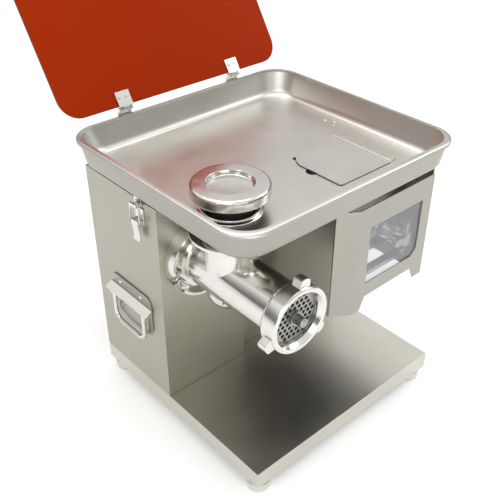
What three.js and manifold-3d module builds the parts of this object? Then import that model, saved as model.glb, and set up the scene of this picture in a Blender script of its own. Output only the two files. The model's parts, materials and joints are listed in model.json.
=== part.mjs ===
// Bench-top combined meat grinder and meat slicer, in millimetres.
// +X is the machine's right side, +Y its back, +Z up. The origin is on the floor under the middle of
// the whole machine with its lid open. Heights below are measured from the underside of the base.
import * as THREE from 'three';
import { mergeVertices } from 'three/addons/utils/BufferGeometryUtils.js';
import Module from 'manifold-3d';

const wasm = await Module();
wasm.setup();

// ---------------------------------------------------------------- driving dimensions
const GAP = 0.3; // between pieces that touch
const RUN = 0.5; // around pieces that turn or slide
const SHEET = 2; // folded stainless sheet

// base and feet
const baseWidth = 400;
const baseDepth = 396;
const skirtHeight = 30.4;
const footHeight = 20;
const footRadius = 19;
const footInset = 20;

// body
const bodyTop = 386;
const leftFront = 16; // front face of the grinder side
const rightFront = 33; // front face of the recessed slicer side
const stepX = -38.4; // where the front face steps back

const glandX = -150;
const glandZ = 62;
const glandRadius = 10;

// tray
const trayLift = 8; // above the body
const trayHeight = 44;
const traySideReach = 19; // past the body on each side
const trayBackReach = 17; // past the body's back
const trayFrontInset = 12; // behind the base's front edge
const trayCorner = 36;

// grinding head
const headX = -130;
const axisZ = 286;
const neckY = -62;
const boreRadius = 34;
const barrelWall = 6;
const neckWall = 5.5;
const neckRimRadius = 59;
const neckRimDrop = 31; // from the tray's underside down to the neck's rim
const flangeReach = 6; // past the barrel
const flangeThickness = 8;
const collarLength = 12;
const augerClear = 1.5; // between the auger and the bore
const augerCore = 13;
const squareHalf = 7.5;
const plateRadius = 41;
const holeRadius = 2.9;
const plateThickness = 9;
const knifeThickness = 5;
const ringFront = -203;
const ringLength = 28;
const ringWall = 5.8; // outside the thread
const threadReach = 4; // past the hole plate
const plateSetback = 12.7; // from the ring's front to the hole plate
const pinReach = 7; // past the ring's front
const pinRadius = 7.2;

// collar on the body and the swing bolts that hold the head
const collarReach = 9; // past the circle of the bolts
const bandWall = 4;
const bandFront = -6;
const wingClear = 38; // width of the gaps left for the wing nuts
const boltReach = 7; // from the flange's edge to the circle of the bolts
const boltAngle = 204; // degrees from +X towards +Z, the second one is opposite
const boltRadius = 3.2;
const eyeRadius = 4.7;
const pinHalf = 2.4;
const slotWidth = 11;
const nutLength = 9;

// feed chute and pusher
const stemClear = 1; // between the pusher's stem and the throat
const chuteClear = 2.5; // between the stem and the chute
const chuteWall = 2.5;
const lipHeight = 6; // above the tray's floor
const lipWidth = 8;
const discReach = 13.5; // of the pusher's disc past the lip
const discTop = 41.5; // above the tray's floor
const discHeight = 17;

// slicer
const slicerLeft = -2.4;
const slicerInset = 1; // inside the body's right side
const slicerFront = -160;
const slicerBottom = 186;
const doorDrop = 14; // from the body's top down to the door's
const doorBevel = 30; // how far the door's slanted left side reaches along X
const doorReturn = 21; // and along Y
const windowLeft = 54;
const windowInset = 23; // from the slicer's right side
const windowLow = 234;
const windowHigh = 334;
const knobInset = 12; // from the window's right edge to the knob that clamps the blade cassette
const knobZ = 263;
const bossRadius = 17;
const bossLength = 20;
const bladeX = 70; // first blade shaft
const bladeZ = 292;
const bladeRadius = 31;
const bladePitch = 14;
const bladeCount = 7;
const bladeBackY = 4;
const bearingY = -118;
const sillY = -134; // bar that the door's foot closes on
const sillZ = 226;
const sillDepth = 14;
const slicerTeeth = 18;
const slicerModule = 3;

// flap over the slicer inlet
const flapLeft = 27;
const flapRight = 137;
const flapFront = -119;
const flapBack = -3;
const stripWidth = 16;

// lid
const lidLean = 33; // degrees back from upright when open
const lidInset = 4; // how far the lid stays inside the rim on each side
const lidThickness = 4;
const lidCorner = 34;
const lidDrop = 5.5; // from the hinge axis down to the lid's inner face when it is closed
const lidStart = 4; // from the hinge axis to the edge of the lid
const hingeInset = 2; // in front of the tray's back edge
const hingeRise = 9; // hinge axis above the rim
const hingeSpread = 110;
const hingeWidth = 25;
const leafReach = 26;

// latches and handles, on both sides
const latchY = 54;
const latchDrop = 26; // below the body's top
const handleInset = 98; // in front of the body's back
const handleZ = 180;
const handleWidth = 108;
const gripWidth = 80;
const gripDrop = 52;
const gripRadius = 3.5;

// push buttons
const panelInset = 78; // in front of the body's back
const panelZ = 292;
const buttonSpread = 24;
const buttonStem = 10;

// drive
const gearModule = 3;
const gearTeeth = 36;
const pinionTeeth = 9;
const gearWidth = 14;
const gearY = 34;
const motorRadius = 60;
const motorLength = 92;
const motorInset = 10; // in front of the body's back
const pulleyY = 74;
const pulleyWidth = 12;
const motorPulley = 18;
const slicerPulley = 27;

// ---------------------------------------------------------------- places worked out from them
const baseTop = skirtHeight;
const bodyHalf = baseWidth / 2;
const bodyBack = baseDepth / 2;
const trayBottom = bodyTop + trayLift;
const trayFloor = trayBottom + SHEET;
const rimTop = trayBottom + trayHeight;
const trayHalfWidth = bodyHalf + traySideReach;
const trayFront = trayFrontInset - baseDepth / 2;
const trayBack = bodyBack + trayBackReach;
const barrelRadius = boreRadius + barrelWall;
const flangeRadius = barrelRadius + flangeReach;
const boltCircle = flangeRadius + boltReach;
const collarOuter = boltCircle + collarReach;
const collarInner = barrelRadius - 2;
const augerRadius = boreRadius - augerClear;
const throatRadius = augerRadius;
const neckRadius = throatRadius + neckWall;
const neckRimZ = trayBottom - neckRimDrop;
const stemRadius = throatRadius - stemClear;
const stemEnd = axisZ + augerRadius + RUN;
const chuteBore = stemRadius + chuteClear;
const lipRadius = chuteBore + lipWidth;
const collarTop = trayFloor + lipHeight;
const pusherRadius = lipRadius + discReach;
const pusherTop = trayFloor + discTop;
const threadRadius = plateRadius + threadReach;
const ringRadius = threadRadius + ringWall;
const ringBack = ringFront + ringLength;
const pinEnd = ringFront - pinReach;
const slicerRight = bodyHalf - slicerInset;
const doorTop = bodyTop - doorDrop;
const windowRight = slicerRight - windowInset;
const knobX = windowRight - knobInset;
const bladeSpan = slicerModule * slicerTeeth;
const handleY = bodyBack - handleInset;
const panelY = bodyBack - panelInset;
const latchZ = bodyTop - latchDrop;
const motorBack = bodyBack - motorInset;
const motorFront = motorBack - motorLength;
const hingeY = trayBack - hingeInset;
const flangeBack = leftFront - collarLength;
const flangeFront = flangeBack - GAP - flangeThickness;
const plateFront = ringFront + plateSetback;
const plateBack = plateFront + plateThickness;
const threadFront = plateFront - GAP;
const gearRadius = gearModule * gearTeeth / 2;
const pinionRadius = gearModule * pinionTeeth / 2;
const motorDistance = gearRadius + pinionRadius;
const motorDirection = -Math.PI / 4;
const motorX = headX + motorDistance * Math.cos(motorDirection);
const motorZ = axisZ + motorDistance * Math.sin(motorDirection);
const hingeZ = rimTop + hingeRise;
const lidWidth = 2 * (trayHalfWidth - lidInset);
const lidLength = hingeY - lidStart - trayFront;
const lean = THREE.MathUtils.degToRad(lidLean);
const lidReach = lidStart + lidLength;
const lidBackY = hingeY + lidReach * Math.sin(lean) + (lidThickness - lidDrop) * Math.cos(lean);
const centreY = (pinEnd + lidBackY) / 2; // pinEnd is the front-most point

// ---------------------------------------------------------------- materials
const metal = (color, roughness) => new THREE.MeshStandardMaterial({ color, roughness, metalness: 1 });
const dull = (color, roughness) => new THREE.MeshStandardMaterial({ color, roughness, metalness: 0 });
const brushed = metal(0xb9b7b0, 0.35);
const polished = metal(0xd6d4cf, 0.12);
const castIron = metal(0x6f7072, 0.5);
const blackRubber = dull(0x1b1b1b, 0.8);
const orangeSheet = dull(0x96290a, 0.25);
const clearSheet = new THREE.MeshStandardMaterial({
  color: 0xdfe6e8, roughness: 0.05, metalness: 0, transparent: true, opacity: 0.3,
});
const greenButton = dull(0x1f8a3b, 0.4);
const redButton = dull(0xb81d18, 0.4);

// ---------------------------------------------------------------- solids
function toSolid(geometry) {
  const bare = new THREE.BufferGeometry();
  bare.setAttribute('position', geometry.getAttribute('position').clone());
  if (geometry.index) bare.setIndex(geometry.index.clone());
  const merged = mergeVertices(bare, 1e-4);
  const at = merged.getAttribute('position');
  const corner = (i) => new THREE.Vector3().fromBufferAttribute(at, i);
  const triangles = [];
  let volume = 0;
  for (let i = 0; i < merged.index.count; i += 3) {
    const [a, b, c] = [0, 1, 2].map((k) => merged.index.getX(i + k));
    if (a !== b && b !== c && c !== a) {
      triangles.push(a, b, c);
      volume += corner(a).dot(corner(b).cross(corner(c)));
    }
  }
  if (volume < 0) triangles.reverse();
  return new wasm.Manifold(new wasm.Mesh({
    numProp: 3,
    vertProperties: new Float32Array(at.array),
    triVerts: new Uint32Array(triangles),
  }));
}

function toGeometry(solid) {
  const mesh = solid.getMesh();
  const geometry = new THREE.BufferGeometry();
  geometry.setAttribute('position', new THREE.BufferAttribute(new Float32Array(mesh.vertProperties), 3));
  geometry.setIndex(new THREE.BufferAttribute(new Uint32Array(mesh.triVerts), 1));
  const faceted = geometry.toNonIndexed();
  faceted.computeVertexNormals();
  return faceted;
}

const join = (...parts) => toGeometry(parts.map(toSolid).reduce((a, b) => a.add(b)));
const cut = (from, ...tools) =>
  toGeometry(tools.map(toSolid).reduce((a, b) => a.subtract(b), toSolid(from)));

// ---------------------------------------------------------------- shapes
const box = ([x0, x1], [y0, y1], [z0, z1]) =>
  new THREE.BoxGeometry(x1 - x0, y1 - y0, z1 - z0).translate((x0 + x1) / 2, (y0 + y1) / 2, (z0 + z1) / 2);

// A round body about Z from a list of [radius, height] corners.
const turned = (profile, segments = 24) =>
  new THREE.LatheGeometry(profile.map(([r, z]) => new THREE.Vector2(r, z)), segments).rotateX(Math.PI / 2);

const rod = (radius, from, to, segments = 16) =>
  turned([[0, from], [radius, from], [radius, to], [0, to]], segments);

const ring = (outer, inner, from, to, segments = 24) =>
  turned([[inner, from], [outer, from], [outer, to], [inner, to], [inner, from]], segments);

const alongY = (geometry) => geometry.rotateX(-Math.PI / 2);
const alongX = (geometry) => geometry.rotateY(Math.PI / 2);
const moved = (geometry, x, y, z) => geometry.translate(x, y, z);

const plateOf = (shape, from, to, curveSegments = 5) =>
  new THREE.ExtrudeGeometry(shape, { depth: to - from, bevelEnabled: false, curveSegments })
    .translate(0, 0, from);

const outline = (points) => new THREE.Shape(points.map(([x, y]) => new THREE.Vector2(x, y)));

function roundedRect(width, height, radius) {
  const x = width / 2 - radius;
  const y = height / 2 - radius;
  const shape = new THREE.Shape();
  shape.absarc(x, y, radius, 0, Math.PI / 2);
  shape.absarc(-x, y, radius, Math.PI / 2, Math.PI);
  shape.absarc(-x, -y, radius, Math.PI, 1.5 * Math.PI);
  shape.absarc(x, -y, radius, 1.5 * Math.PI, 2 * Math.PI);
  return shape;
}

function circle(radius, sides) {
  const points = [];
  for (let i = 0; i < sides; i += 1) {
    const turn = 2 * Math.PI * i / sides;
    points.push([radius * Math.cos(turn), radius * Math.sin(turn)]);
  }
  return outline(points);
}

// A bar of round section along a curve.
const bent = (curve, radius, steps, sides = 8) =>
  new THREE.ExtrudeGeometry(circle(radius, sides), { steps, bevelEnabled: false, extrudePath: curve });

// A closed skin through a stack of rings with the same number of points, closed flat at both ends.
function skinned(rings) {
  const count = rings[0].length;
  const positions = rings.flat().flatMap((p) => [p.x, p.y, p.z]);
  const index = [];
  for (let j = 0; j < rings.length - 1; j += 1) {
    for (let i = 0; i < count; i += 1) {
      const a = j * count + i;
      const b = j * count + (i + 1) % count;
      index.push(a, b, b + count, a, b + count, a + count);
    }
  }
  const last = (rings.length - 1) * count;
  for (let i = 1; i < count - 1; i += 1) {
    index.push(0, i + 1, i, last, last + i, last + i + 1);
  }
  const geometry = new THREE.BufferGeometry();
  geometry.setAttribute('position', new THREE.Float32BufferAttribute(positions, 3));
  geometry.setIndex(index);
  return geometry;
}

function gearShape(teeth, module, phase = 0) {
  const pitch = 2 * Math.PI / teeth;
  const root = module * (teeth / 2 - 1.25);
  const tip = module * (teeth / 2 + 0.9);
  const points = [];
  for (let i = 0; i < teeth; i += 1) {
    for (const [radius, share] of [[root, -0.33], [tip, -0.11], [tip, 0.11], [root, 0.33]]) {
      const turn = phase + pitch * (i + share);
      points.push([radius * Math.cos(turn), radius * Math.sin(turn)]);
    }
  }
  return outline(points);
}

// ---------------------------------------------------------------- assembly helpers
const machine = new THREE.Group();
machine.position.set(0, -centreY, footHeight);

function piece(name, geometry, material, parent = machine) {
  const mesh = new THREE.Mesh(toGeometry(toSolid(geometry)), material);
  mesh.name = name;
  parent.add(mesh);
  return mesh;
}

function placed(x, y, z, parent = machine) {
  const group = new THREE.Group();
  group.position.set(x, y, z);
  parent.add(group);
  return group;
}

// ---------------------------------------------------------------- base and feet
function addBase() {
  const halfX = baseWidth / 2;
  const halfY = baseDepth / 2;
  const gusset = 2 * footInset + 4;
  let plate = cut(
    box([-halfX, halfX], [-halfY, halfY], [0, baseTop]),
    box([-halfX + SHEET, halfX - SHEET], [-halfY + SHEET, halfY - SHEET], [-1, baseTop - SHEET]),
  );
  let number = 1;
  for (const sx of [-1, 1]) {
    for (const sy of [-1, 1]) {
      const near = (half, s) => [s * (half - SHEET / 2), s * (half - gusset)].sort((a, b) => a - b);
      plate = join(plate, box(near(halfX, sx), near(halfY, sy), [0, 3]));
      const top = footHeight - GAP;
      const foot = turned([
        [0, 0], [footRadius - 2, 0], [footRadius, 2], [footRadius, top - 6], [footRadius - 4, top - 4],
        [footRadius - 4, top], [0, top],
      ], 16);
      piece(`foot_${number}`, foot, blackRubber,
        placed(sx * (halfX - footInset), sy * (halfY - footInset), -footHeight));
      number += 1;
    }
  }
  piece('base_plate', plate, brushed);
}

// ---------------------------------------------------------------- body
function addBody() {
  const back = bodyBack - SHEET - GAP;
  const low = baseTop + GAP;
  const wrap = (inset) => [
    [-bodyHalf + inset, back], [-bodyHalf + inset, leftFront + inset], [stepX - inset, leftFront + inset],
    [stepX - inset, rightFront + inset], [bodyHalf - inset, rightFront + inset], [bodyHalf - inset, back],
  ];
  const cassetteHole = bladeRadius + 1;
  const stemHole = (dz) => alongX(rod(buttonStem + RUN, bodyHalf - 5, bodyHalf + 5, 12))
    .translate(0, panelY, panelZ + dz);
  const shell = cut(
    plateOf(outline([...wrap(0), ...wrap(SHEET).reverse()]), low, bodyTop),
    moved(alongY(rod(collarInner, leftFront - 5, leftFront + 5, 28)), headX, 0, axisZ),
    box([bladeX - cassetteHole, bladeX + bladeSpan + cassetteHole], [rightFront - 5, rightFront + 5],
      [bladeZ - cassetteHole, bladeZ + cassetteHole]),
    stemHole(buttonSpread),
    stemHole(-buttonSpread),
  );
  piece('body_shell', shell, brushed);

  const inset = SHEET + GAP;
  const cover = outline(wrap(inset));
  const seat = (offset) => [
    [-bodyHalf + offset, back - offset], [-bodyHalf + offset, leftFront + offset],
    [bodyHalf - offset, rightFront + offset], [bodyHalf - offset, back - offset],
  ];
  const seatRing = plateOf(outline(seat(14)), bodyTop - 3, trayBottom - GAP);
  const seatHole = plateOf(outline(seat(24)), bodyTop - 4, trayBottom + 1);
  const top = join(
    plateOf(cover, bodyTop - 3, bodyTop - 1),
    cut(seatRing, seatHole),
  );
  piece('top_plate', top, brushed);

  const slots = [];
  for (const x of [-110, 110]) {
    for (let i = 0; i < 6; i += 1) {
      slots.push(box([x - 35, x + 35], [bodyBack - 10, bodyBack + 10], [96 + 14 * i, 102 + 14 * i]));
    }
  }
  const glandHole = moved(alongY(rod(glandRadius + RUN, bodyBack - 10, bodyBack + 10)), glandX, 0, glandZ);
  const backSheet = box([-bodyHalf, bodyHalf], [bodyBack - SHEET, bodyBack], [low, bodyTop]);
  piece('back_cover', cut(backSheet, ...slots, glandHole), brushed);

  const cordBore = glandRadius / 2;
  const gland = turned([
    [cordBore, -14], [glandRadius, -14], [glandRadius, GAP], [glandRadius + 4, GAP], [glandRadius + 4, 6],
    [glandRadius + 1, 8], [glandRadius - 1, 20], [cordBore, 20], [cordBore, -14],
  ], 12);
  piece('cable_gland', alongY(gland), blackRubber, placed(glandX, bodyBack, glandZ));
}

// ---------------------------------------------------------------- tray, chute and flap
function addTray() {
  const ringAt = (inset, z) => {
    const radius = trayCorner - inset * 0.6;
    const centres = [
      [trayHalfWidth - inset, trayBack - inset, 0], [-trayHalfWidth + inset, trayBack - inset, 1],
      [-trayHalfWidth + inset, trayFront + inset, 2], [trayHalfWidth - inset, trayFront + inset, 3],
    ];
    return centres.flatMap(([x, y, quarter]) => {
      const cx = x - Math.sign(x) * radius;
      const cy = y - (quarter < 2 ? radius : -radius);
      return [0, 1, 2, 3, 4, 5].map((k) => {
        const turn = Math.PI / 2 * (quarter + k / 5);
        return new THREE.Vector3(cx + radius * Math.cos(turn), cy + radius * Math.sin(turn), z);
      });
    });
  };
  const skin = skinned([
    ringAt(22, trayBottom), ringAt(15, trayBottom + 2), ringAt(11.5, trayBottom + 9), ringAt(4, rimTop - 9),
    ringAt(0, rimTop - 6), ringAt(0, rimTop - 3), ringAt(2, rimTop - 0.5), ringAt(4.5, rimTop),
    ringAt(7, rimTop - 0.5), ringAt(9, rimTop - 4), ringAt(14.5, trayFloor + 12),
    ringAt(17.5, trayFloor + 4), ringAt(25, trayFloor),
  ]);
  const chuteHole = moved(
    rod(chuteBore + chuteWall + GAP, trayBottom - 5, trayFloor + 5, 32), headX, neckY, 0);
  const through = [trayBottom - 5, trayFloor + 5];
  const inlet = box([flapLeft + 8, flapRight - 6], [flapFront + 8, flapBack - 8], through);
  const thumb = moved(rod(10, ...through), flapLeft + 2, (flapFront + flapBack) / 2, 0);
  piece('tray', cut(skin, chuteHole, inlet, thumb), brushed);

  const outer = chuteBore + chuteWall;
  const chute = turned([
    [chuteBore, neckRimZ - 4], [outer, neckRimZ - 4], [outer, trayFloor + GAP],
    [lipRadius + 4, trayFloor + GAP],
    [lipRadius, trayFloor + 2.5], [lipRadius, collarTop - 1], [lipRadius - 1, collarTop],
    [lipRadius - 2.5, collarTop], [chuteBore, collarTop - 5], [chuteBore, neckRimZ - 4],
  ], 26);
  piece('feed_chute', chute, polished, placed(headX, neckY, 0));

  const low = pusherTop - discHeight;
  const dish = pusherRadius - 22.5;
  const pusher = turned([
    [0, stemEnd], [stemRadius - 3, stemEnd], [stemRadius, stemEnd + 3], [stemRadius, low],
    [pusherRadius - 1.5, low], [pusherRadius, low + 2], [pusherRadius, pusherTop - 4],
    [pusherRadius - 4, pusherTop], [dish, pusherTop], [dish - 1, pusherTop - 1], [dish - 2, pusherTop - 7],
    [0, pusherTop - 7],
  ], 26);
  piece('pusher', pusher, polished, placed(headX, neckY, 0));

  const flapLow = trayFloor + GAP;
  const width = flapRight - flapLeft - RUN;
  const depth = flapBack - flapFront;
  const leaf = new THREE.Shape();
  leaf.moveTo(0, 0);
  leaf.lineTo(0, depth);
  leaf.lineTo(-width * 0.5, depth);
  leaf.quadraticCurveTo(-width * 0.93, depth, -width, depth * 0.72);
  leaf.lineTo(-width, 6);
  leaf.quadraticCurveTo(-width, 0, -width + 6, 0);
  const knuckle = alongY(rod(2, 0, depth, 10)).translate(0, 0, 2);
  const flapGroup = placed(flapRight, flapFront, flapLow);
  piece('inlet_flap', join(plateOf(leaf, 0.6, 2.1), knuckle), brushed, flapGroup);
  const strip = join(
    box([2.6, stripWidth], [2, depth - 2], [0, 2]),
    moved(rod(2.4, 1, 3, 10), stripWidth - 5, 12, 0),
    moved(rod(2.4, 1, 3, 10), stripWidth - 5, depth / 2, 0),
    moved(rod(2.4, 1, 3, 10), stripWidth - 5, depth - 12, 0),
  );
  piece('flap_strip', strip, brushed, flapGroup);
}

// ---------------------------------------------------------------- lid on its two clamp hinges
function addLid() {
  const lid = placed(0, hingeY, hingeZ);
  lid.rotation.x = -lean; // the lid's own +Z runs up along the leaning sheet, its +Y away from the tray
  const sheet = plateOf(roundedRect(lidWidth, lidLength, lidCorner), 0, lidThickness, 6)
    .rotateX(Math.PI / 2)
    .translate(0, lidThickness - lidDrop, lidStart + lidLength / 2);
  piece('lid', sheet, orangeSheet, lid);

  const half = hingeWidth / 2;
  const inner = half / 2;
  const knuckleRadius = 4;
  const plateFace = -lidDrop - GAP;
  const backFace = lidThickness - lidDrop + GAP;
  const leafLow = lidStart - GAP;
  const knuckle = (from, to) => alongX(rod(knuckleRadius, from, to, 12));
  const screw = (x) => moved(alongY(rod(3, plateFace - 3.5, plateFace - 1, 8)), x, 0, leafReach - 9);
  const away = trayBack + GAP - hingeY;
  let number = 1;
  for (const x of [-hingeSpread, hingeSpread]) {
    const clamp = join(
      box([-half, half], [plateFace - SHEET, plateFace], [leafLow - SHEET, leafReach]),
      box([-half, half], [backFace, backFace + SHEET], [knuckleRadius + RUN, leafReach]),
      box([-inner + RUN, inner - RUN], [plateFace - 1, backFace + SHEET], [0, leafLow]),
      box([-inner + RUN, inner - RUN], [backFace, backFace + SHEET], [0, leafReach - 5]),
      knuckle(-inner + RUN, inner - RUN),
      screw(-6),
      screw(6),
    );
    piece(`hinge_leaf_${number}`, clamp, polished, placed(x, 0, 0, lid));
    const bracket = join(
      knuckle(-half, -inner),
      knuckle(inner, half),
      box([-half, -inner], [0, away + SHEET], [-knuckleRadius, 0]),
      box([inner, half], [0, away + SHEET], [-knuckleRadius, 0]),
      box([-half, -inner], [away, away + SHEET], [-22, 0]),
      box([inner, half], [away, away + SHEET], [-22, 0]),
      box([-half, half], [away, away + SHEET], [-22, -7]),
    );
    piece(`hinge_base_${number}`, bracket, polished, placed(x, hingeY, hingeZ));
    number += 1;
  }
}

// ---------------------------------------------------------------- grinding head
// A wall of revolution that opens like a trumpet from one radius to another.
function flare(from, to, low, high) {
  const points = [];
  for (let i = 0; i <= 3; i += 1) {
    const turn = Math.PI / 2 * i / 3;
    points.push([from + (to - from) * (1 - Math.cos(turn)), low + (high - low) * Math.sin(turn)]);
  }
  return points;
}

function addHead() {
  const head = placed(headX, 0, axisZ);
  const rise = neckRimZ - axisZ;
  const neck = turned([
    [0, -barrelRadius - 2], [neckRadius - 14, -barrelRadius - 2], [neckRadius - 5, -barrelRadius + 3],
    [neckRadius, -barrelRadius + 12], ...flare(neckRadius, neckRimRadius, rise - 24, rise - 4),
    [neckRimRadius, rise], [0, rise],
  ], 24).translate(0, neckY, 0);
  const throat = turned([
    [0, 0], [throatRadius, 0], ...flare(throatRadius, neckRimRadius - 4, rise - 22, rise - 2),
    [neckRimRadius - 3, rise + 1], [0, rise + 1],
  ], 24).translate(0, neckY, 0);
  const body = turned([
    [0, threadFront], [threadRadius, threadFront], [threadRadius, ringBack + 1],
    [barrelRadius, ringBack + 7], [barrelRadius, flangeFront - 10], [barrelRadius - 2, flangeFront],
    [flangeRadius, flangeFront],
    [flangeRadius, flangeBack - GAP], [0, flangeBack - GAP],
  ], 28);
  const seat = plateBack + knifeThickness + 2 * GAP;
  const bore = turned([
    [0, threadFront - 1], [plateRadius + GAP, threadFront - 1], [plateRadius + GAP, seat],
    [boreRadius, seat], [boreRadius, flangeBack], [0, flangeBack],
  ], 28);
  const turnOf = (side) => THREE.MathUtils.degToRad(boltAngle + 180 * side);
  const onCircle = (geometry, side) => alongY(geometry.rotateZ(-turnOf(side)));
  const ear = (side) => onCircle(
    box([10, boltCircle + 5], [-12, 12], [flangeFront + 0.4, flangeBack - GAP - 0.4]), side);
  const slot = (side) => onCircle(
    box([boltCircle - boltRadius - 1.5, boltCircle + 20], [-boltRadius - 1, boltRadius + 1],
      [flangeFront - 1, flangeBack + 1]), side);
  const casting = cut(join(neck, alongY(body), ear(0), ear(1)), throat, alongY(bore), slot(0), slot(1));
  piece('grinder_head', casting, polished, head);

  const pinY = flangeBack + eyeRadius + RUN;
  const notch = (side) => onCircle(
    box([boltCircle - eyeRadius - 1.5, collarOuter + 5], [-slotWidth / 2, slotWidth / 2],
      [flangeBack - 1, pinY + eyeRadius + RUN]), side);
  const wingGap = (side) => onCircle(
    box([boltCircle, collarOuter + 5], [-wingClear / 2, wingClear / 2], [bandFront - 1, flangeBack]), side);
  const pivotHalf = slotWidth / 2 + 1;
  const pivot = (side) => onCircle(
    rod(pinHalf, -pivotHalf, pivotHalf, 10).rotateX(Math.PI / 2).translate(boltCircle, 0, pinY), side);
  const collar = turned([
    [collarInner, flangeBack], [collarOuter - bandWall, flangeBack], [collarOuter - bandWall, bandFront],
    [collarOuter, bandFront], [collarOuter, leftFront - GAP], [collarInner, leftFront - GAP],
    [collarInner, flangeBack],
  ], 28);
  const clampRing = join(
    cut(alongY(collar), notch(0), notch(1), wingGap(0), wingGap(1)), pivot(0), pivot(1));
  piece('outlet_collar', clampRing, polished, head);

  const nutBack = flangeFront - 0.6;
  for (const side of [0, 1]) {
    const eye = ring(eyeRadius, pinHalf + GAP, -4.5, 4.5, 12).rotateX(Math.PI / 2);
    const shank = rod(boltRadius - 0.2, nutBack - nutLength - 7, pinY - 3.4, 10);
    const bolt = join(eye.translate(boltCircle, 0, pinY), shank.translate(boltCircle, 0, 0));
    piece(`swing_bolt_${side + 1}`, onCircle(bolt, side), polished, head);
    const hub = ring(6.5, boltRadius + GAP - 0.1, nutBack - nutLength, nutBack, 12);
    const wing = (s) => {
      const shape = outline([[5, 1 - nutLength], [5, -2], [9.5, -6], [12, -13], [10.5, -15], [7, -11]]
        .map(([x, y]) => [s * x, y]));
      return plateOf(shape, -1.6, 1.6).rotateX(Math.PI / 2).translate(0, 0, nutBack);
    };
    const nut = join(hub, wing(1), wing(-1)).rotateZ(0.9).translate(boltCircle, 0, 0);
    piece(`wing_nut_${side + 1}`, onCircle(nut, side), polished, head);
  }

  const lugTip = ringRadius + 12;
  const lugRoot = ringRadius - 4;
  const lug = (turn) => alongY(
    plateOf(outline([[lugRoot, -11], [lugTip, -7], [lugTip, 7], [lugRoot, 11]]),
      ringFront + 4, ringBack - 9).rotateZ(-THREE.MathUtils.degToRad(turn)));
  const nut = turned([
    [threadRadius + GAP, ringBack], [ringRadius - 3, ringBack], [ringRadius - 1, ringBack - 3],
    [ringRadius, ringFront + 3], [ringRadius - 2, ringFront], [plateRadius + 2, ringFront],
    [plateRadius - 2.5, plateFront - 5], [plateRadius - 2.5, plateFront - GAP],
    [threadRadius + GAP, plateFront - GAP], [threadRadius + GAP, ringBack],
  ], 30);
  piece('ring_nut', join(alongY(nut), lug(80), lug(200), lug(320)), polished, head);

  const pitch = 8.4;
  const disc = circle(plateRadius, 36);
  for (let row = -4; row <= 4; row += 1) {
    for (let step = -4; step <= 4; step += 1) {
      const x = pitch * (step + (row % 2 ? 0.5 : 0));
      const y = pitch * Math.sqrt(0.75) * row;
      const reach = Math.hypot(x, y);
      if (reach > 13 && reach < plateRadius - 5) {
        const hole = new THREE.Path();
        hole.absarc(x, y, holeRadius, 0, 2 * Math.PI);
        disc.holes.push(hole);
      }
    }
  }
  const plate = cut(
    join(plateOf(disc, plateFront, plateBack, 3), rod(11, plateFront - 5, plateFront + 1, 20)),
    rod(pinRadius + RUN, plateFront - 9, plateBack + 9, 20));
  piece('hole_plate', alongY(plate), polished, head);

  const knifeBack = plateBack + GAP + knifeThickness;
  const tip = plateRadius - 4;
  const blade = (turn) => plateOf(outline([[0, -7], [tip - 2, -2], [tip, 5], [12, 8], [0, 7]]),
    plateBack + GAP, knifeBack).rotateZ(turn);
  const knife = cut(
    join(rod(13, plateBack + GAP, knifeBack, 16), ...[0, 1, 2, 3].map((k) => blade(k * Math.PI / 2))),
    box([-squareHalf - 0.2, squareHalf + 0.2], [-squareHalf - 0.2, squareHalf + 0.2],
      [plateBack - 5, knifeBack + 5]));
  piece('knife', alongY(knife), brushed, head);

  const screw = [];
  const screwSides = 12;
  const augerFront = knifeBack + GAP;
  const augerBack = flangeBack - 4;
  const steps = 24;
  for (let j = 0; j <= steps; j += 1) {
    const loop = [];
    const z = augerFront + (augerBack - augerFront) * j / steps;
    const twist = 2 * Math.PI * 3 * j / steps;
    for (let i = 0; i < screwSides; i += 1) {
      const turn = 2 * Math.PI * i / screwSides;
      const crest = Math.max(0, Math.cos(turn)) ** 2;
      const radius = augerCore + (augerRadius - augerCore) * crest;
      loop.push(new THREE.Vector3(radius * Math.cos(turn + twist), radius * Math.sin(turn + twist), z));
    }
    screw.push(loop);
  }
  const auger = join(
    skinned(screw),
    box([-squareHalf, squareHalf], [-squareHalf, squareHalf], [plateBack + GAP, augerFront + 1]),
    rod(pinRadius, pinEnd, augerFront + 1, 16),
    rod(augerCore, augerBack - 1, augerBack + 2, 16),
  );
  piece('auger', alongY(auger), castIron, head);
}

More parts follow.
